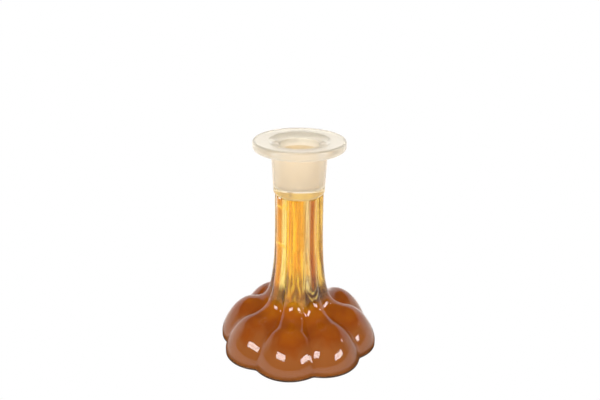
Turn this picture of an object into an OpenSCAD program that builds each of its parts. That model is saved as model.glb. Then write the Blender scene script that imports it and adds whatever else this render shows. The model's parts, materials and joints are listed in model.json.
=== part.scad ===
// Glass candlestick: a cup with a wide flange, joined by a thin wafer of glass to a
// ribbed stem that spreads into a hollow foot of petals. The hollow is round in the stem
// and follows the petals in the foot. The stem, the foot and the socket are lacquered on the
// inside. Millimetres, +Z up, origin on the table below the axis.

/* [Foot] */
// Width of the foot across two opposite petal crests
foot_d = 100; // [82:0.5:122]
// Number of petals, each of which runs up the stem as a rib
petals = 8; // [6:1:10]
// How far the clefts between the petals are set in at the foot's edge
cleft_depth = 4.2; // [2.5:0.1:5]
// Depth of the valleys between the backs of the petals
valley_depth = 5; // [3:0.1:6]
// Height of a petal's back at its middle
petal_rise = 25; // [21:0.1:30]
// Distance from the foot's edge in to the middle of a petal's back
petal_reach = 18; // [15:0.1:21]
// Slope of a petal's back at its middle, in degrees
petal_slope = 10; // [3:1:18]
// Share of the petal's reach over which its curve is held to that slope
shoulder_hold = 0.6; // [0.5:0.05:0.8]
// Height to which the petal's wall stands nearly upright
wall_h = 7; // [4:0.1:9]
// Height of the upright edge of the foot
edge_h = 2.5; // [2:0.1:3]
// Radius of the foot's lower edge
edge_round = 1.2; // [0.5:0.1:1.8]

/* [Stem] */
// Height of the stem-and-foot glass
stem_h = 99.4; // [82:0.1:120]
// Width of the stem across two opposite ribs, above its flare
stem_d = 29.8; // [28:0.1:36]
// Depth of the grooves between the ribs
rib_depth = 2; // [1:0.1:2.2]
// Length of the straight top of the stem
straight_l = 11.5; // [5:0.5:16]
// Share of the flare's height over which its curve is held to the stem
flare_hold = 0.93; // [0.7:0.01:0.97]
// Share of the flare's reach over which its curve is held to the petal's back
flare_spread = 0.7; // [0.4:0.05:0.85]
// Radius of the stem's top edge
stem_round = 0.8; // [0.4:0.1:1.2]

/* [Walls and lacquer] */
// Thickness of the glass under the grooves and valleys
glass_t = 1.8; // [1.5:0.1:3.2]
// Thickness of the lacquer linings
lacquer_t = 0.4; // [0.3:0.05:0.6]
// Height at which the amber lacquer of the stem gives way to the caramel of the foot
colour_break = 32; // [28:1:60]
// Gap between the table and the foot's lacquer
lacquer_lift = 0.4; // [0.2:0.1:2]
// Radius of the stem at which the hollow starts to follow the petals
follow_r = 20; // [18:0.5:24]

/* [Joint] */
// Width of the wafer of glass between the stem and the cup
wafer_d = 27.4; // [26:0.1:28]
// Thickness of that wafer
wafer_t = 0.6; // [0.4:0.1:1.5]

/* [Cup] */
// Height of the cup, its flange included
cup_h = 33; // [28:0.1:45]
// Width of the cup at its foot
cup_base_d = 30.8; // [28:0.1:37]
// Width of the cup just under the flange
cup_top_d = 33.6; // [30:0.1:38]
// Radius of the cup's lower edge
cup_round = 1.8; // [0.6:0.1:2.2]
// Thickness of the glass under the socket
floor_t = 5.1; // [4:0.1:10]
// Width of the flange
flange_d = 55.1; // [46:0.1:70]
// Thickness of the flange at its rim
flange_t = 5.7; // [4:0.1:7]
// Radius of the flange's upper edge
rim_round_top = 1.4; // [0.6:0.1:1.8]
// Radius of the flange's lower edge
rim_round_low = 2; // [0.8:0.1:2.2]
// Radius of the fillet between the cup and the flange
neck_round = 1.3; // [0.8:0.1:2]
// How far the flange's top is dished
dish = 0.4; // [0.2:0.1:0.8]

/* [Socket] */
// Width of the candle socket inside its lacquer
socket_d = 22.8; // [19:0.1:24]
// Width of the funnel at the mouth of the socket
mouth_d = 36.4; // [30:0.1:38]
// Depth of that funnel
mouth_h = 2; // [1:0.1:2.5]
// Radius of the edge between the funnel and the bore
lip_round = 0.5; // [0.3:0.1:0.8]
// Radius of the socket's lower corner in the glass
socket_round = 2.2; // [1:0.1:3]
// Distance from the top of the flange down to the edge of the socket's lacquer
lacquer_drop = 7; // [5:0.1:10]

/* [Hidden] */
$fn = 96;
foot_r = foot_d / 2;
stem_r = stem_d / 2;
wafer_z = stem_h;
cup_z = stem_h + wafer_t;
top_z = cup_z + cup_h;
flange_r = flange_d / 2;
flange_z = top_z - flange_t;
cup_base_r = cup_base_d / 2;
cup_top_r = cup_top_d / 2;
bore_r = socket_d / 2 + lacquer_t;
floor_z = cup_z + floor_t;
mouth_z = top_z - dish;
mid_r = foot_r - petal_reach;
flare_z = stem_h - straight_l;
// Points round one petal, rings down the flare and down the shoulder, and points on an edge
PETAL_STEPS = 8;
FLARE_STEPS = 17;
SHOULDER_STEPS = 10;
EDGE_STEPS = 4;

// Points of an arc about [x, z], from one angle to another
function arc(x, z, r, from, to, steps = EDGE_STEPS) =
    [for (i = [0 : steps]) let (a = from + (to - from) * i / steps) [x + r * cos(a), z + r * sin(a)]];

// A point and its direction on the cubic curve with four handles
function on_curve(h, s) =
    pow(1 - s, 3) * h[0] + 3 * pow(1 - s, 2) * s * h[1] + 3 * (1 - s) * s * s * h[2] + pow(s, 3) * h[3];
function along_curve(h, s) =
    pow(1 - s, 2) * (h[1] - h[0]) + 2 * (1 - s) * s * (h[2] - h[1]) + s * s * (h[3] - h[2]);
function outward(d) = [-d[1], d[0]] / norm(d);

// The crest line of a rib and petal: the flare, then the shoulder. Each entry is a point
// [radius, height] with the direction that faces out of the glass there.
spread_r = mid_r - flare_spread * (mid_r - stem_r);
flare = [
    [stem_r, flare_z],
    [stem_r, flare_z - flare_hold * (flare_z - petal_rise)],
    [spread_r, petal_rise + (mid_r - spread_r) * tan(petal_slope)],
    [mid_r, petal_rise]
];
shoulder_reach = shoulder_hold * petal_reach;
shoulder = [
    [mid_r, petal_rise],
    [mid_r + shoulder_reach, petal_rise - shoulder_reach * tan(petal_slope)],
    [foot_r, wall_h],
    [foot_r, edge_h]
];
crest = concat(
    [for (i = [0 : FLARE_STEPS]) let (s = i / FLARE_STEPS)
        [on_curve(flare, s), outward(along_curve(flare, s))]],
    [for (i = [1 : SHOULDER_STEPS]) let (s = i / SHOULDER_STEPS)
        [on_curve(shoulder, s), outward(along_curve(shoulder, s))]]
);

// Depth of the groove beside the crest, from the stem's ribs to the valleys and the clefts
function ease(from, to, k) = from + (to - from) * (0.5 - 0.5 * cos(180 * max(0, min(1, k))));
function groove(r) =
    r < mid_r
    ? ease(rib_depth, valley_depth, (r - stem_r) / (mid_r - stem_r))
    : ease(valley_depth, cleft_depth, (r - mid_r) / (foot_r - mid_r));

// How far the surface lies under the crest at an angle from it. In plan each petal is an arc
// of a circle, and neighbouring arcs meet in the cleft.
function petal_drop(r, depth, a) =
    let (half = 180 / petals)
    let (low = r - depth)
    let (c = (r * r - low * low) / (2 * (r - low * cos(half))))
    r - c * cos(a) - sqrt(max(0, pow(r - c, 2) - pow(c * sin(a), 2)));

// The point at a depth straight under a point of the crest line. It goes down at most half
// of the way to the upright edge, so that the line under the crest never folds back.
function under(p, n, depth) =
    [p[0] - depth * n[0], p[1] - min(depth * n[1], max(0, p[1] - edge_h) / 2)];

// One ring of points round the axis, at a depth under the crest that depends on the angle
ANGLES = [for (i = [0 : petals * PETAL_STEPS - 1]) i * 360 / (petals * PETAL_STEPS)];
function from_crest(a) = let (w = 360 / petals) a - w * round(a / w);
function ring(p, n, depths) = [
    for (i = [0 : len(ANGLES) - 1])
    let (q = under(p, n, depths[i]))
    [q[0] * cos(ANGLES[i]), q[0] * sin(ANGLES[i]), q[1]]
];

// Depths of the outer surface under the crest
function outer_depths(r, depth) = [for (a = ANGLES) petal_drop(r, depth, from_crest(a))];
outer_rings = concat(
    [for (p = arc(stem_r - stem_round, stem_h - stem_round, stem_round, 90, 0))
        ring(p, [1, 0], outer_depths(stem_r, rib_depth))],
    [for (e = crest) ring(e[0], e[1], outer_depths(e[0][0], groove(e[0][0])))],
    [for (p = arc(foot_r - edge_round, edge_round, edge_round, 0, -90))
        ring(p, [1, 0], outer_depths(foot_r, cleft_depth))]
);

// Depths of a surface inside the glass: level all round in the stem, then a wall's
// thickness under the petals and their clefts
function inner_depths(r, depth) =
    let (g = groove(r))
    let (level = g + depth)
    let (k = ease(0, 1, (r - follow_r) / (mid_r - follow_r)))
    [for (a = ANGLES) level + k * (petal_drop(r, g, from_crest(a)) - g)];
function inner_rings(depth) = [for (e = crest) ring(e[0], e[1], inner_depths(e[0][0], depth))];
function at_height(r, z) = [for (p = r) [p[0], p[1], z]];

// A closed solid through rings of points. The last ring joins the first, so the solid is a
// sleeve with a wall all round.
module sleeve(levels) {
    n = len(levels[0]);
    count = len(levels);
    walls = [
        for (i = [0 : count - 1])
        for (j = [0 : n - 1])
        let (k = (j + 1) % n)
        let (m = (i + 1) % count)
        for (f = [[i * n + j, i * n + k, m * n + k], [i * n + j, m * n + k, m * n + j]])
        f
    ];
    polyhedron(points = [for (level = levels) for (p = level) p], faces = walls);
}
function reversed(list) = [for (i = [len(list) - 1 : -1 : 0]) list[i]];

// The lacquer between two heights, a film on the wall of the hollow
module lacquer(low, high) {
    wall = inner_rings(glass_t);
    face = inner_rings(glass_t + lacquer_t);
    last = len(crest) - 1;
    intersection() {
        sleeve(concat(
            [at_height(wall[0], stem_h)], wall, [at_height(wall[last], 0)],
            [at_height(face[last], 0)], reversed(face), [at_height(face[0], stem_h)]
        ));
        translate([0, 0, low])
            cylinder(r = foot_r, h = high - low);
    }
}

// Pressed clear glass: ribs that open into petals, hollow from the joint down
module stem_and_foot() {
    wall = inner_rings(glass_t);
    last = len(crest) - 1;
    color([0.93, 0.9, 0.84, 0.5])
        sleeve(concat(
            outer_rings,
            [at_height(wall[last], 0)], reversed(wall), [at_height(wall[0], stem_h)]
        ));
}

// Clear amber lacquer inside the stem
module stem_lining() {
    color([0.9, 0.62, 0.12, 0.8])
        lacquer(colour_break, stem_h);
}

// Opaque caramel lacquer inside the foot
module foot_lining() {
    color([0.62, 0.33, 0.12])
        lacquer(lacquer_lift, colour_break);
}

// Thin wafer of clear glass that joins the cup to the stem and closes the hollow
module joint_wafer() {
    color([0.95, 0.9, 0.8, 0.6])
        translate([0, 0, wafer_z])
            cylinder(d = wafer_d, h = wafer_t);
}

// Pressed clear glass cup with its drip flange and candle socket
module candle_cup() {
    lip_a = atan2(mouth_h, mouth_d / 2 - bore_r);
    color([0.96, 0.93, 0.86, 0.6])
        rotate_extrude()
            polygon(concat(
                [[0, cup_z]],
                arc(cup_base_r - cup_round, cup_z + cup_round, cup_round, -90, 0),
                arc(cup_top_r + neck_round, flange_z - neck_round, neck_round, 180, 90),
                arc(flange_r - rim_round_low, flange_z + rim_round_low, rim_round_low, -90, 0),
                arc(flange_r - rim_round_top, top_z - rim_round_top, rim_round_top, 0, 90),
                [[mouth_d / 2, mouth_z]],
                arc(bore_r + lip_round, mouth_z - mouth_h - lip_round, lip_round, 90 + lip_a, 180),
                arc(bore_r - socket_round, floor_z + socket_round, socket_round, 0, -90),
                [[0, floor_z]]
            ));
}

// Cream lacquer on the wall and floor of the socket
module socket_lining() {
    edge_z = top_z - lacquer_drop;
    round_in = socket_round - lacquer_t;
    color([0.93, 0.84, 0.7])
        rotate_extrude()
            polygon(concat(
                [[0, floor_z]],
                arc(bore_r - socket_round, floor_z + socket_round, socket_round, -90, 0),
                [[bore_r, edge_z], [bore_r - lacquer_t, edge_z]],
                arc(bore_r - socket_round, floor_z + socket_round, round_in, 0, -90),
                [[0, floor_z + lacquer_t]]
            ));
}

candle_cup();
socket_lining();
joint_wafer();
stem_and_foot();
stem_lining();
foot_lining();
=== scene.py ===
"""A glass candlestick: a flanged cup joined by a wafer of glass to a ribbed stem that opens
into a hollow foot of petals, with cream, amber and caramel lacquer on the inside."""

import json
import math

import bmesh
import bpy
from mathutils import Euler, Matrix, Vector
from mathutils.geometry import interpolate_bezier


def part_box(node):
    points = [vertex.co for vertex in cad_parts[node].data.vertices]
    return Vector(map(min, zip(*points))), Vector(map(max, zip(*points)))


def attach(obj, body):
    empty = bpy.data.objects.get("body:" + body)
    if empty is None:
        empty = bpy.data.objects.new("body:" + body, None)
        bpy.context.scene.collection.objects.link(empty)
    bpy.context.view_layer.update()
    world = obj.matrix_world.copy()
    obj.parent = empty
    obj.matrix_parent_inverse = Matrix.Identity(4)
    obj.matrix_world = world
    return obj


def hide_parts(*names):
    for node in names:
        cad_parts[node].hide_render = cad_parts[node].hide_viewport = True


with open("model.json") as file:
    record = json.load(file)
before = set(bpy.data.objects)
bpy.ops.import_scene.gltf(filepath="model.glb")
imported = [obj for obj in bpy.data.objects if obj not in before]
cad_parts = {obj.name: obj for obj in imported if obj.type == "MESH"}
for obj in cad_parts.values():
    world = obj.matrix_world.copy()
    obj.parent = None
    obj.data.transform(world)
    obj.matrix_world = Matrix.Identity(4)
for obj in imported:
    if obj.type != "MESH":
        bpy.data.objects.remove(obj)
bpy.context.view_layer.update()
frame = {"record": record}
scene = bpy.context.scene


# The camera stands close and looks down on the foot, a little to one side of a petal's crest.
CAMERA_AZIMUTH = math.radians(10.37)
CAMERA_PITCH = math.radians(68.87)
CAMERA_ROLL = math.radians(0.55)
CAMERA_PLACE = (0.0006, -0.375, 0.24007)
camera_data = bpy.data.cameras.new("camera")
camera_data.sensor_width = 36
camera_data.lens = 40.08
camera = bpy.data.objects.new("camera", camera_data)
turn = Matrix.Rotation(CAMERA_AZIMUTH, 4, "Z")
camera.matrix_world = (
    turn
    @ Matrix.Translation(CAMERA_PLACE)
    @ Euler((CAMERA_PITCH, 0, 0)).to_matrix().to_4x4()
    @ Matrix.Rotation(CAMERA_ROLL, 4, "Z")
)
scene.collection.objects.link(camera)
scene.camera = camera
scene.view_settings.view_transform = "Standard"


# The floor is a glowing white sheet, but close round the foot its glow is cut off and its dark
# brown shows: painted shade, which the glass edge takes up. The camera itself sees the sheet plain
# white. Behind the piece and low down all round, the studio is white. In front it is dark, apart
# from two softboxes and a small lamp, which are seen as highlights only.
FLOOR_R = 5.0
SHADE_R = 0.052
GLOW_R = 0.062
DARK_STUDIO = (0.13, 0.12, 0.11, 1)
bm = bmesh.new()
bmesh.ops.create_circle(bm, cap_ends=True, radius=FLOOR_R, segments=96)
floor_mesh = bpy.data.meshes.new("floor")
bm.to_mesh(floor_mesh)
bm.free()
floor = bpy.data.objects.new("floor", floor_mesh)
scene.collection.objects.link(floor)
floor_material = bpy.data.materials.new("floor_sheet")
floor_material.use_nodes = True
nodes, links = floor_material.node_tree.nodes, floor_material.node_tree.links
floor_shader = nodes["Principled BSDF"]
# Dark brown: under the glow it hardly shows, but round the foot it is the painted shade
floor_shader.inputs["Base Color"].default_value = (0.22, 0.14, 0.09, 1)
floor_shader.inputs["Roughness"].default_value = 0.9
floor_shader.inputs["Specular IOR Level"].default_value = 0.0
floor_shader.inputs["Emission Color"].default_value = (1, 1, 1, 1)
place = nodes.new("ShaderNodeTexCoord")
from_axis = nodes.new("ShaderNodeVectorMath")
from_axis.operation = "LENGTH"
links.new(place.outputs["Object"], from_axis.inputs[0])


def fade(value, start, end):
    """A share that goes from 0 to 1 as a value goes from start to end."""
    step = nodes.new("ShaderNodeMapRange")
    step.inputs["From Min"].default_value = start
    step.inputs["From Max"].default_value = end
    links.new(value, step.inputs["Value"])
    return step.outputs["Result"]


def joined(operation, first, second):
    """Two values put together by a sum, a product or the like."""
    node = nodes.new("ShaderNodeMath")
    node.operation = operation
    links.new(first, node.inputs[0])
    links.new(second, node.inputs[1])
    return node.outputs["Value"]


glow = fade(from_axis.outputs["Value"], SHADE_R, GLOW_R)
links.new(glow, floor_shader.inputs["Emission Strength"])
sheet = nodes.new("ShaderNodeEmission")
path = nodes.new("ShaderNodeLightPath")
either = nodes.new("ShaderNodeMixShader")
links.new(path.outputs["Is Camera Ray"], either.inputs[0])
links.new(floor_shader.outputs[0], either.inputs[1])
links.new(sheet.outputs[0], either.inputs[2])
links.new(either.outputs[0], nodes["Material Output"].inputs["Surface"])
floor_mesh.materials.append(floor_material)

world = bpy.data.worlds.new("studio")
scene.world = world
world.use_nodes = True
nodes, links = world.node_tree.nodes, world.node_tree.links
background = nodes["Background"]
place = nodes.new("ShaderNodeTexCoord")
height = nodes.new("ShaderNodeSeparateXYZ")
away = nodes.new("ShaderNodeVectorMath")
away.operation = "DOT_PRODUCT"
away.inputs[1].default_value = turn @ Vector((0, 1, 0))
links.new(place.outputs["Generated"], height.inputs[0])
links.new(place.outputs["Generated"], away.inputs[0])
backdrop = joined(
    "MULTIPLY", fade(away.outputs["Value"], -0.05, 0.35), fade(height.outputs["Z"], 0.55, 0.4))
bright = joined("MAXIMUM", backdrop, fade(height.outputs["Z"], 0.10, 0.06))
path = nodes.new("ShaderNodeLightPath")
bright = joined("MAXIMUM", bright, path.outputs["Is Camera Ray"])
tone = nodes.new("ShaderNodeMix")
tone.data_type = "RGBA"
tone.inputs["A"].default_value = DARK_STUDIO
tone.inputs["B"].default_value = (1, 1, 1, 1)
links.new(bright, tone.inputs["Factor"])
links.new(tone.outputs["Result"], background.inputs["Color"])
background.inputs["Strength"].default_value = 1.0


def soft_sun(name, energy, tilt, bearing):
    """An even light that leaves no highlights, tilted from straight overhead to one side."""
    data = bpy.data.lights.new(name, "SUN")
    data.energy = energy
    data.angle = math.radians(50)
    lamp = bpy.data.objects.new(name, data)
    lamp.visible_glossy = False
    aim = Matrix.Rotation(math.radians(bearing), 4, "Z") @ Matrix.Rotation(math.radians(tilt), 4, "X")
    lamp.matrix_world = turn @ aim
    scene.collection.objects.link(lamp)


soft_sun("overhead", 0.85, 12, 0)
soft_sun("front_fill", 1.6, 52, -15)


def area_light(name, size, power, position, target):
    """A rectangular lamp that faces a target; the position is in the camera's own bearing."""
    data = bpy.data.lights.new(name, "AREA")
    data.shape = "RECTANGLE"
    data.size, data.size_y = size
    data.energy = power
    lamp = bpy.data.objects.new(name, data)
    lamp.visible_diffuse = False
    place_at, aim_at = turn @ Vector(position), turn @ Vector(target)
    facing = (aim_at - place_at).to_track_quat("-Z", "Y").to_matrix().to_4x4()
    lamp.matrix_world = Matrix.Translation(place_at) @ facing
    scene.collection.objects.link(lamp)


area_light("left_softbox", (0.66, 0.24), 6.6, (-0.57, -0.94, 0.58), (0, 0, 0.03))
area_light("right_softbox", (0.66, 0.20), 5.7, (0.96, -0.70, 0.38), (0, 0, 0.03))
area_light("side_lamp", (0.05, 0.05), 0.25, (0.95, 0.02, 0.45), (0, 0, 0.03))


# The cup and its drip flange are one pressing of clear glass with a faint cream cast. The flange
# is dished a little, and a funnel leads from it into the bore of the candle socket.
CUP_BASE_R = 0.0154
CUP_TOP_R = 0.0168
CUP_ROUND = 0.0018
CUP_FLOOR = 0.0051
FLANGE_T = 0.0057
RIM_ROUND_TOP = 0.0014
RIM_ROUND_LOW = 0.0020
NECK_ROUND = 0.0013
DISH = 0.0004
MOUTH_R = 0.0182
MOUTH_H = 0.0020
LIP_ROUND = 0.0005
SOCKET_ROUND = 0.0022
LACQUER_T = 0.0004
CUP_TURNS = 160
cup_low, cup_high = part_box("candle_cup")
cup_z, top_z, flange_r = cup_low.z, cup_high.z, cup_high.x
socket_mount = next(m for m in frame["record"]["mounts"] if m["name"] == "candle_socket")
bore_r = socket_mount["dims"]["r_mm"] / 1000 + LACQUER_T
socket_floor_z = cup_z + CUP_FLOOR

# Width of the ring that holds each edge, and the angle from which an edge is shaded as a corner
SUPPORT = 0.00012
SHARP = math.radians(40)


def hold_edges(bm):
    """Add a ring close to each end of a long edge, so that smooth shading stays in the rounds."""
    for edge in [e for e in bm.edges if e.calc_length() > 8 * SUPPORT]:
        near, far = edge.verts
        length = edge.calc_length()
        bmesh.utils.edge_split(edge, near, SUPPORT / length)
        rest = next(e for e in far.link_edges if abs(e.calc_length() - (length - SUPPORT)) < 1e-7)
        bmesh.utils.edge_split(rest, far, SUPPORT / rest.calc_length())


def shade(bm):
    """Shade the faces smooth, apart from the edges where they meet at a corner."""
    for face in bm.faces:
        face.smooth = True
    for edge in bm.edges:
        edge.smooth = edge.calc_face_angle(0) < SHARP


def finish(bm, name):
    bmesh.ops.recalc_face_normals(bm, faces=bm.faces)
    shade(bm)
    mesh = bpy.data.meshes.new(name)
    bm.to_mesh(mesh)
    bm.free()
    piece = bpy.data.objects.new(name, mesh)
    scene.collection.objects.link(piece)
    return piece


def turned(name, outline, rounds):
    """A turned solid from its outline, a list of (radius, height) that starts and ends on the axis.
    rounds gives a corner's number in that list and the radius that it is rounded to."""
    bm = bmesh.new()
    corners = [bm.verts.new((r, 0, z)) for r, z in outline]
    for a, b in zip(corners, corners[1:]):
        bm.edges.new((a, b))
    for number, radius in rounds.items():
        bmesh.ops.bevel(bm, geom=[corners[number]], offset=radius, offset_type="OFFSET", segments=6,
                        profile=0.5, affect="VERTICES", material=-1)
    hold_edges(bm)
    bmesh.ops.spin(bm, geom=bm.verts[:] + bm.edges[:], axis=(0, 0, 1), cent=(0, 0, 0),
                   angle=math.tau, steps=CUP_TURNS, use_merge=True)
    bmesh.ops.remove_doubles(bm, verts=bm.verts, dist=1e-6)
    return finish(bm, name)


cup = turned(
    "cup_glass",
    [
        (0, cup_z),
        (CUP_BASE_R, cup_z),
        (CUP_TOP_R, top_z - FLANGE_T),
        (flange_r, top_z - FLANGE_T),
        (flange_r, top_z),
        (MOUTH_R, top_z - DISH),
        (bore_r, top_z - DISH - MOUTH_H),
        (bore_r, socket_floor_z),
        (0, socket_floor_z),
    ],
    {1: CUP_ROUND, 2: NECK_ROUND, 3: RIM_ROUND_LOW, 4: RIM_ROUND_TOP, 6: LIP_ROUND, 7: SOCKET_ROUND},
)


def pressed_glass(name, colours, clearness, roughness, ripple_scale, ripple_height,
                  painted_amber_below=None):
    """Pressed glass, a little wavy and cloudy; what isn't clear in it is milky. Lamps reach what
    lies behind it, as they do through real glass. Below a height it turns amber: painted light
    from the amber stem beneath."""
    material = bpy.data.materials.new(name)
    material.use_nodes = True
    nodes, links = material.node_tree.nodes, material.node_tree.links
    shader = nodes["Principled BSDF"]
    shader.inputs["Transmission Weight"].default_value = clearness
    shader.inputs["Roughness"].default_value = roughness
    shader.inputs["IOR"].default_value = 1.5
    place = nodes.new("ShaderNodeTexCoord")
    ripple = nodes.new("ShaderNodeTexNoise")
    ripple.inputs["Scale"].default_value = ripple_scale
    ripple.inputs["Detail"].default_value = 1.0
    bump = nodes.new("ShaderNodeBump")
    bump.inputs["Strength"].default_value = 1.0
    bump.inputs["Distance"].default_value = ripple_height
    cloud = nodes.new("ShaderNodeMix")
    cloud.data_type = "RGBA"
    cloud.inputs["A"].default_value, cloud.inputs["B"].default_value = colours
    links.new(place.outputs["Object"], ripple.inputs["Vector"])
    links.new(ripple.outputs["Fac"], cloud.inputs["Factor"])
    links.new(cloud.outputs["Result"], shader.inputs["Base Color"])
    if painted_amber_below:
        height = nodes.new("ShaderNodeSeparateXYZ")
        low = nodes.new("ShaderNodeMapRange")
        low.inputs["From Min"].default_value = painted_amber_below + AMBER_FADE
        low.inputs["From Max"].default_value = painted_amber_below - AMBER_FADE
        warm = nodes.new("ShaderNodeMix")
        warm.data_type = "RGBA"
        warm.inputs["B"].default_value = PAINTED_AMBER_LIGHT
        links.new(place.outputs["Object"], height.inputs[0])
        links.new(height.outputs["Z"], low.inputs["Value"])
        links.new(low.outputs["Result"], warm.inputs["Factor"])
        links.new(cloud.outputs["Result"], warm.inputs["A"])
        links.new(warm.outputs["Result"], shader.inputs["Base Color"])
    links.new(ripple.outputs["Fac"], bump.inputs["Height"])
    links.new(bump.outputs["Normal"], shader.inputs["Normal"])
    path = nodes.new("ShaderNodeLightPath")
    clear = nodes.new("ShaderNodeBsdfTransparent")
    either = nodes.new("ShaderNodeMixShader")
    links.new(path.outputs["Is Shadow Ray"], either.inputs[0])
    links.new(shader.outputs[0], either.inputs[1])
    links.new(clear.outputs[0], either.inputs[2])
    links.new(either.outputs[0], nodes["Material Output"].inputs["Surface"])
    return material


def fuse(piece, level):
    """Give the flat faces at a level the look of fused glass: light goes straight through them."""
    piece.data.materials.append(fused_glass)
    for face in piece.data.polygons:
        if abs(face.center.z - level) < 1e-5 and math.hypot(*face.center[:2]) < FUSED_R:
            face.material_index = 1


AMBER_FADE = 0.0006
# Amber painted into the cup's glass low down: painted light from the amber stem beneath
PAINTED_AMBER_LIGHT = (0.84, 0.70, 0.36, 1)
FUSED_R = 0.0133
fused_glass = bpy.data.materials.new("fused_glass")
fused_glass.use_nodes = True
nodes, links = fused_glass.node_tree.nodes, fused_glass.node_tree.links
nodes.remove(nodes["Principled BSDF"])
links.new(nodes.new("ShaderNodeBsdfTransparent").outputs[0], nodes["Material Output"].inputs["Surface"])

cup_glass = pressed_glass(
    "cup_glass", [(0.91, 0.865, 0.765, 1), (0.88, 0.83, 0.71, 1)],
    0.66, 0.02, 90, 0.00006, socket_floor_z)
cup.data.materials.append(cup_glass)
fuse(cup, cup_z)
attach(cup, "root")
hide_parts("candle_cup")


# The socket is lined with milky cream lacquer, which lets some light through. It covers the
# floor and the wall up to the level of the flange's underside.
HOLD = 0.00003  # how far each film reaches into the glass, so that no air shows between them
lining_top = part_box("socket_lining")[1].z
socket_lining = turned(
    "socket_lacquer",
    [
        (0, socket_floor_z - HOLD),
        (bore_r + HOLD, socket_floor_z - HOLD),
        (bore_r + HOLD, lining_top),
        (bore_r - LACQUER_T, lining_top),
        (bore_r - LACQUER_T, socket_floor_z + LACQUER_T),
        (0, socket_floor_z + LACQUER_T),
    ],
    {1: SOCKET_ROUND, 4: SOCKET_ROUND - LACQUER_T},
)
cream = bpy.data.materials.new("cream_lacquer")
cream.use_nodes = True
nodes, links = cream.node_tree.nodes, cream.node_tree.links
cream_shader = nodes["Principled BSDF"]
cream_shader.inputs["Roughness"].default_value = 0.4
cream_shader.inputs["Specular IOR Level"].default_value = 0.0
through = nodes.new("ShaderNodeBsdfTransparent")
through.inputs["Color"].default_value = (0.95, 0.885, 0.77, 1)
place = nodes.new("ShaderNodeTexCoord")
pour = nodes.new("ShaderNodeTexNoise")
pour.inputs["Scale"].default_value = 120
cover = nodes.new("ShaderNodeMapRange")
cover.inputs["From Min"].default_value = 0.3
cover.inputs["From Max"].default_value = 0.7
cover.inputs["To Min"].default_value = 0.14
cover.inputs["To Max"].default_value = 0.26
veil = nodes.new("ShaderNodeMixShader")
links.new(place.outputs["Object"], pour.inputs["Vector"])
links.new(pour.outputs["Fac"], cover.inputs["Value"])
# On the socket's floor the lacquer is drawn more opaque and a darker yellow-brown: painted shade,
# tinted with painted amber light from the stem below.
height = nodes.new("ShaderNodeSeparateXYZ")
socket_floor_share = nodes.new("ShaderNodeMapRange")
socket_floor_share.inputs["From Min"].default_value = socket_floor_z + 0.0008
socket_floor_share.inputs["From Max"].default_value = socket_floor_z + 0.0004
socket_floor_share.inputs["To Max"].default_value = 0.75
cover_and_floor_shade = nodes.new("ShaderNodeMath")
cover_and_floor_shade.operation = "MAXIMUM"
links.new(place.outputs["Object"], height.inputs[0])
links.new(height.outputs["Z"], socket_floor_share.inputs["Value"])
links.new(cover.outputs["Result"], cover_and_floor_shade.inputs[0])
links.new(socket_floor_share.outputs["Result"], cover_and_floor_shade.inputs[1])
links.new(cover_and_floor_shade.outputs["Value"], veil.inputs[0])
# Cream on the wall; on the floor a darker yellow-brown of painted shade and painted amber light
wall_cream_and_floor_shade = nodes.new("ShaderNodeMix")
wall_cream_and_floor_shade.data_type = "RGBA"
wall_cream_and_floor_shade.inputs["A"].default_value = (0.84, 0.74, 0.56, 1)
wall_cream_and_floor_shade.inputs["B"].default_value = (0.60, 0.50, 0.26, 1)
links.new(socket_floor_share.outputs["Result"], wall_cream_and_floor_shade.inputs["Factor"])
links.new(wall_cream_and_floor_shade.outputs["Result"], cream_shader.inputs["Base Color"])
links.new(through.outputs[0], veil.inputs[1])
links.new(cream_shader.outputs[0], veil.inputs[2])
links.new(veil.outputs[0], nodes["Material Output"].inputs["Surface"])
socket_lining.data.materials.append(cream)
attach(socket_lining, "root")
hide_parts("socket_lining")


# A thin wafer of glass joins the cup to the stem and closes the stem's hollow. It was put
# between the two hot, so it has fused with both.
wafer_low, wafer_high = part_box("joint_wafer")
wafer = turned(
    "wafer_glass",
    [(0, wafer_low.z), (FUSED_R, wafer_low.z), (wafer_high.x, wafer_low.z),
     (wafer_high.x, wafer_high.z), (FUSED_R, wafer_high.z), (0, wafer_high.z)],
    {2: 0.0001, 3: 0.0001},
)
wafer.data.materials.append(cup_glass)
fuse(wafer, wafer_high.z)
fuse(wafer, wafer_low.z)
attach(wafer, "root")
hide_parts("joint_wafer")


# Stem and foot are one pressing of clear glass. Eight ribs run down the stem and open into the
# eight petals of the foot. The hollow is round in the stem and follows the petals in the foot.
PETALS = 8
STEM_R = 0.0149
RIB_DEPTH = 0.0020
VALLEY_DEPTH = 0.0050
CLEFT_DEPTH = 0.0042
CLEFT_SOFTNESS = 0.05
STRAIGHT_L = 0.0115
PETAL_RISE = 0.0250
PETAL_REACH = 0.0180
PETAL_SLOPE = math.tan(math.radians(10))
FLARE_HOLD = 0.93
FLARE_SPREAD = 0.7
SHOULDER_HOLD = 0.6
WALL_H = 0.0070
EDGE_H = 0.0025
EDGE_ROUND = 0.0012
STEM_ROUND = 0.0008
FOLLOW_R = 0.020
GLASS_T = 0.0018
STEM_TURNS = 288
FILM_TURNS = 192
stem_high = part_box("stem_and_foot")[1]
foot_r, stem_h = stem_high.x, stem_high.z
mid_r = foot_r - PETAL_REACH
flare_z = stem_h - STRAIGHT_L
spread_r = mid_r - FLARE_SPREAD * (mid_r - STEM_R)
shoulder_reach = SHOULDER_HOLD * PETAL_REACH


def ease(low, high, share):
    """Goes from low to high along a half wave."""
    return low + (high - low) * (0.5 - 0.5 * math.cos(math.pi * max(0, min(1, share))))


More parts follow.
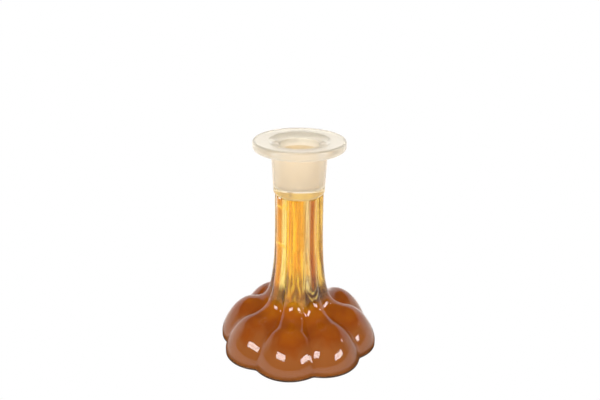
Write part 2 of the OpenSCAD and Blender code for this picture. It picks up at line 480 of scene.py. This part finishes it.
def groove(r):
    """Depth of the groove beside the crest line, where that line is at radius r."""
    if r < mid_r:
        return ease(RIB_DEPTH, VALLEY_DEPTH, (r - STEM_R) / (mid_r - STEM_R))
    return ease(VALLEY_DEPTH, CLEFT_DEPTH, (r - mid_r) / (foot_r - mid_r))


def crest_line(flare_points, shoulder_points):
    """The line down the crest of a rib and its petal, and the direction out of the glass along it."""
    flare = interpolate_bezier(
        Vector((STEM_R, 0, flare_z)),
        Vector((STEM_R, 0, flare_z - FLARE_HOLD * (flare_z - PETAL_RISE))),
        Vector((spread_r, 0, PETAL_RISE + (mid_r - spread_r) * PETAL_SLOPE)),
        Vector((mid_r, 0, PETAL_RISE)),
        flare_points,
    )
    shoulder = interpolate_bezier(
        Vector((mid_r, 0, PETAL_RISE)),
        Vector((mid_r + shoulder_reach, 0, PETAL_RISE - shoulder_reach * PETAL_SLOPE)),
        Vector((foot_r, 0, WALL_H)),
        Vector((foot_r, 0, EDGE_H)),
        shoulder_points,
    )
    line = [Vector((STEM_R, 0, stem_h))] + flare + shoulder[1:] + [Vector((foot_r, 0, 0))]
    ahead = [b - a for a, b in zip([line[0]] + line[:-1], line[1:] + [line[-1]])]
    return [(p, Vector((-d.z, 0, d.x)).normalized()) for p, d in zip(line, ahead)]


def under(point, out, depth):
    """The point at a depth under the crest line. It goes down at most half way to the upright edge."""
    drop_z = min(depth * out.z, max(0, point.z - EDGE_H) / 2) if point.z < stem_h else 0
    return Vector((point.x - depth * out.x, 0, point.z - drop_z))


def petal_drop(r, depth, angle):
    """How far the glass lies under the crest at an angle round from it. In plan each petal is an
    arc of a circle, and the cleft where two of them meet is softened."""
    half = math.pi / PETALS
    from_crest = (angle + half) % (2 * half) - half
    edge = math.hypot(1, CLEFT_SOFTNESS) - CLEFT_SOFTNESS
    share = 1 - (math.hypot(1 - abs(from_crest) / half, CLEFT_SOFTNESS) - CLEFT_SOFTNESS) / edge
    low = r - depth
    centre = (r * r - low * low) / (2 * (r - low * math.cos(half)))
    a = share * half
    return r - centre * math.cos(a) - math.sqrt(max(0, (r - centre) ** 2 - (centre * math.sin(a)) ** 2))


def pressing(skins, turns):
    """A closed sleeve of the stem and foot between skins, each a crest line and its depth in the
    glass: the outer skin has depth 0 and follows the petals all the way."""
    bm = bmesh.new()
    layers = {key: bm.verts.layers.float.new(key) for key in ("lean", "groove", "depth", "follow")}
    loop = []
    for entries, depth in skins:
        side = []
        for point, out in entries:
            v = bm.verts.new(point)
            v[layers["lean"]] = math.atan2(out.z, out.x)
            v[layers["groove"]] = groove(point.x)
            v[layers["depth"]] = depth
            v[layers["follow"]] = ease(0, 1, (point.x - FOLLOW_R) / (mid_r - FOLLOW_R)) if depth else 1
            side.append(v)
        loop += side if not loop else side[::-1]
    for a, b in zip(loop, loop[1:] + loop[:1]):
        bm.edges.new((a, b))
    if skins[0][1] == 0:
        last = len(skins[0][0]) - 1
        for corner, radius in ((loop[0], STEM_ROUND), (loop[last], EDGE_ROUND)):
            bmesh.ops.bevel(bm, geom=[corner], offset=radius, offset_type="OFFSET", segments=5,
                            profile=0.5, affect="VERTICES", material=-1)
    bmesh.ops.spin(bm, geom=bm.verts[:] + bm.edges[:], axis=(0, 0, 1), cent=(0, 0, 0),
                   angle=math.tau, steps=turns, use_merge=True)
    for v in bm.verts:
        angle, r = math.atan2(v.co.y, v.co.x), math.hypot(v.co.x, v.co.y)
        level, follow = v[layers["groove"]], v[layers["follow"]]
        drop = v[layers["depth"]] + level + follow * (petal_drop(r, level, angle) - level)
        out = Vector((math.cos(v[layers["lean"]]), 0, math.sin(v[layers["lean"]])))
        at = under(Vector((r, 0, v.co.z)), out, drop)
        v.co = (at.x * math.cos(angle), at.x * math.sin(angle), at.z)
    return bm


entries = crest_line(72, 48)
stem = finish(pressing([(entries, 0), (entries, GLASS_T)], STEM_TURNS), "stem_glass")
stem.data.materials.append(pressed_glass(
    "stem_glass", [(1, 0.99, 0.96, 1), (0.97, 0.95, 0.90, 1)], 1.0, 0.0, 70, 0.00008))
fuse(stem, stem_h)
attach(stem, "root")
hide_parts("stem_and_foot")


# The stem is lined with clear amber lacquer. It was poured in and ran down, so it is streaked.
# Low on one side two curved lines of light, caustics of the glass, are painted into it.
def film(name, low, high):
    """The lacquer on the wall of the hollow between two heights."""
    lines = crest_line(48, 32)
    bm = pressing([(lines, GLASS_T - HOLD), (lines, GLASS_T + LACQUER_T)], FILM_TURNS)
    for z, up in ((low, -1), (high, 1)):
        if 0 < z < stem_h - HOLD:
            cut = bmesh.ops.bisect_plane(bm, geom=bm.verts[:] + bm.edges[:] + bm.faces[:],
                                         plane_co=(0, 0, z), plane_no=(0, 0, up), clear_outer=True)
            rim = [e for e in cut["geom_cut"] if isinstance(e, bmesh.types.BMEdge)]
            bmesh.ops.bridge_loops(bm, edges=rim)
    return finish(bm, name)


def lacquer(name):
    """Lacquer that is clear, streaked gold up the stem. From about 35 mm down it runs, unevenly,
    into orange-brown, then into opaque caramel. Both linings share the one pattern, as the
    lacquers run into each other. Light and shade are painted into it too: a pale strip of light
    and two curved lines of light on the stem, dark patches of shade where the stem opens into
    the foot, and a lighter sheen low on the foot."""
    material = bpy.data.materials.new(name)
    material.use_nodes = True
    nodes, links = material.node_tree.nodes, material.node_tree.links
    shader = nodes["Principled BSDF"]
    shader.inputs["Roughness"].default_value = 0.35
    shader.inputs["Specular IOR Level"].default_value = 0.0
    place = nodes.new("ShaderNodeTexCoord")
    height = nodes.new("ShaderNodeSeparateXYZ")
    links.new(place.outputs["Object"], height.inputs[0])

    def noise(stretch, scale, detail):
        run_down = nodes.new("ShaderNodeMapping")
        run_down.inputs["Scale"].default_value = (1, 1, stretch)
        cloud = nodes.new("ShaderNodeTexNoise")
        cloud.inputs["Scale"].default_value = scale
        cloud.inputs["Detail"].default_value = detail
        links.new(place.outputs["Object"], run_down.inputs["Vector"])
        links.new(run_down.outputs["Vector"], cloud.inputs["Vector"])
        return cloud.outputs["Fac"]

    def ramp(value, stops):
        colours = nodes.new("ShaderNodeValToRGB")
        for number, (position, colour) in enumerate(stops):
            if number > 1:
                stop = colours.color_ramp.elements.new(position)
            else:
                stop = colours.color_ramp.elements[number]
                stop.position = position
            stop.color = (*colour, 1)
        links.new(value, colours.inputs["Fac"])
        return colours.outputs["Color"]

    def blended(share, first, second):
        mixer = nodes.new("ShaderNodeMix")
        mixer.data_type = "RGBA"
        links.new(share, mixer.inputs["Factor"])
        links.new(first, mixer.inputs["A"])
        links.new(second, mixer.inputs["B"])
        return mixer.outputs["Result"]

    def spread(value, low, high, to_low=0.0, to_high=1.0):
        step = nodes.new("ShaderNodeMapRange")
        for key, number in (("From Min", low), ("From Max", high), ("To Min", to_low),
                            ("To Max", to_high)):
            step.inputs[key].default_value = number
        links.new(value, step.inputs["Value"])
        return step.outputs["Result"]

    def joined(operation, first, second):
        node = nodes.new("ShaderNodeMath")
        node.operation = operation
        links.new(first, node.inputs[0])
        links.new(second, node.inputs[1])
        return node.outputs["Value"]

    def painted_caustic(bearing, level, lowest, rise):
        """A painted caustic: a bright curved line of light that dips down between two ribs."""
        aside = nodes.new("ShaderNodeMath")
        aside.operation = "SUBTRACT"
        aside.inputs[1].default_value = CAUSTIC_BEARING
        links.new(bearing, aside.inputs[0])
        squared = joined("MULTIPLY", aside.outputs["Value"], aside.outputs["Value"])
        line_z = spread(squared, 0.0, 0.01, lowest, lowest + 0.01 * rise)
        gap = nodes.new("ShaderNodeMath")
        gap.operation = "ABSOLUTE"
        links.new(joined("SUBTRACT", level, line_z), gap.inputs[0])
        return spread(gap.outputs["Value"], 0.0003, 0.0012, 1.0, 0.0)

    def times(first, second):
        node = nodes.new("ShaderNodeMix")
        node.data_type = "RGBA"
        node.blend_type = "MULTIPLY"
        node.inputs["Factor"].default_value = 1.0
        links.new(first, node.inputs["A"])
        links.new(second, node.inputs["B"])
        return node.outputs["Result"]

    round_stem = nodes.new("ShaderNodeTexGradient")
    round_stem.gradient_type = "RADIAL"
    links.new(place.outputs["Object"], round_stem.inputs["Vector"])
    streaks = noise(0.035, 620, 4)
    threads = noise(0.02, 1100, 2)
    patches = noise(0.35, 90, 2)
    z = height.outputs["Z"]
    bearing = joined("ADD", round_stem.outputs["Fac"], spread(streaks, 0.3, 0.7, -0.008, 0.008))
    low_z = joined("ADD", z, spread(streaks, 0.35, 0.65, -0.0012, 0.0012))
    body_z = joined("ADD", z, spread(patches, 0.3, 0.7, -0.004, 0.004))
    # Round the stem: runs of lacquer, with a strip of painted light high up and painted shade low down
    runs_light_and_shade = blended(spread(low_z, *RUNS_CHANGE), ramp(bearing, LOW_RUNS_AND_SHADE), ramp(bearing, RUNS_AND_LIGHT))
    # Two painted caustics: curved lines of light low on one side of the stem
    caustic_share = joined(
        "MAXIMUM", painted_caustic(bearing, low_z, *LOWER_CAUSTIC), painted_caustic(bearing, low_z, *UPPER_CAUSTIC))
    gold = blended(caustic_share, times(runs_light_and_shade, ramp(threads, THREADS)), ramp(bearing, CAUSTIC_COLOURS))
    body = ramp(spread(body_z, *BODY_SPAN), BODY)
    links.new(blended(spread(low_z, *COLOUR_CHANGE), body, gold), shader.inputs["Base Color"])
    see = nodes.new("ShaderNodeBsdfTransparent")
    thin = nodes.new("ShaderNodeGamma")
    thin.inputs["Gamma"].default_value = 0.46
    links.new(gold, thin.inputs["Color"])
    links.new(thin.outputs["Color"], see.inputs["Color"])
    share = joined(
        "MAXIMUM", spread(low_z, *CLEARING, 1.0, 0.0), spread(streaks, 0.45, 0.60, 0.10, 0.45))
    blend = nodes.new("ShaderNodeMixShader")
    links.new(share, blend.inputs[0])
    links.new(see.outputs[0], blend.inputs[1])
    links.new(shader.outputs[0], blend.inputs[2])
    links.new(blend.outputs[0], nodes["Material Output"].inputs["Surface"])
    return material


# Heights between which the caramel changes colour, turns amber and clears, and between which
# the low runs and painted shade give way to the high runs and painted light
BODY_SPAN = (0.014, 0.044)
COLOUR_CHANGE = (0.030, 0.036)
CLEARING = (0.028, 0.036)
RUNS_CHANGE = (0.039, 0.043)
# Bearing of the two painted caustic lines; then the height of each one's lowest point and how fast it
# rises
CAUSTIC_BEARING = 0.385
LOWER_CAUSTIC = (0.0345, 3.4)
UPPER_CAUSTIC = (0.0385, 5.5)
# Colours of the caramel by height, then of the amber round the stem, high and low: runs of dark
# amber and pale yellow, with a pale strip of painted light high up and dark patches of painted
# shade low down; then of the painted caustic lines, and of the fine threads
# Low on the foot the caramel is drawn lighter and pinker: a painted sheen of the white floor
BODY = [(0.0, (0.31, 0.10, 0.022)), (1.0, (0.62, 0.32, 0.02)), (0.20, (0.28, 0.062, 0.004)),
        (0.45, (0.36, 0.095, 0.003)), (0.65, (0.42, 0.17, 0.006))]
RUNS_AND_LIGHT = [(0.0, (0.96, 0.72, 0.14)), (1.0, (0.96, 0.72, 0.14)), (0.03, (0.92, 0.46, 0.015)),
        (0.115, (0.76, 0.29, 0.006)), (0.135, (1.0, 0.86, 0.27)), (0.192, (1.0, 0.84, 0.23)),
        (0.208, (1.0, 0.68, 0.05)), (0.308, (1.0, 0.70, 0.06)), (0.320, (1.0, 0.90, 0.38)),
        (0.338, (0.98, 0.84, 0.34)), (0.352, (1.0, 0.93, 0.56)), (0.376, (1.0, 0.90, 0.46)),
        (0.384, (0.52, 0.18, 0.004)), (0.404, (0.62, 0.25, 0.006)), (0.416, (0.97, 0.72, 0.16)),
        (0.53, (0.96, 0.66, 0.10))]
LOW_RUNS_AND_SHADE = [(0.0, (0.70, 0.38, 0.04)), (1.0, (0.70, 0.38, 0.04)), (0.03, (0.50, 0.17, 0.01)),
            (0.115, (0.40, 0.15, 0.006)), (0.135, (0.26, 0.12, 0.004)), (0.192, (0.28, 0.13, 0.004)),
            (0.208, (0.86, 0.48, 0.02)), (0.308, (0.86, 0.50, 0.03)), (0.326, (0.90, 0.62, 0.12)),
            (0.338, (0.24, 0.075, 0.002)), (0.426, (0.22, 0.07, 0.002)), (0.448, (0.26, 0.11, 0.004)),
            (0.53, (0.30, 0.14, 0.006))]
CAUSTIC_COLOURS = [(0.30, (1.0, 0.66, 0.05)), (0.345, (1.0, 0.82, 0.22)), (0.43, (1.0, 0.78, 0.18)),
            (0.46, (0.7, 0.4, 0.02))]
THREADS = [(0.38, (0.84, 0.70, 0.48)), (0.60, (1, 1, 1))]
amber_low, amber_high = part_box("stem_lining")
amber = film("amber_lacquer", amber_low.z, amber_high.z)
amber.data.materials.append(lacquer("amber_lacquer"))
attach(amber, "root")
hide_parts("stem_lining")


# The foot is lined with opaque caramel lacquer, from a little above its edge up to the start of
# the stem, where it runs into the amber.
caramel_low, caramel_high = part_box("foot_lining")
caramel = film("caramel_lacquer", caramel_low.z, caramel_high.z)
caramel.data.materials.append(lacquer("caramel_lacquer"))
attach(caramel, "root")
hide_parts("foot_lining")


bpy.context.view_layer.update()
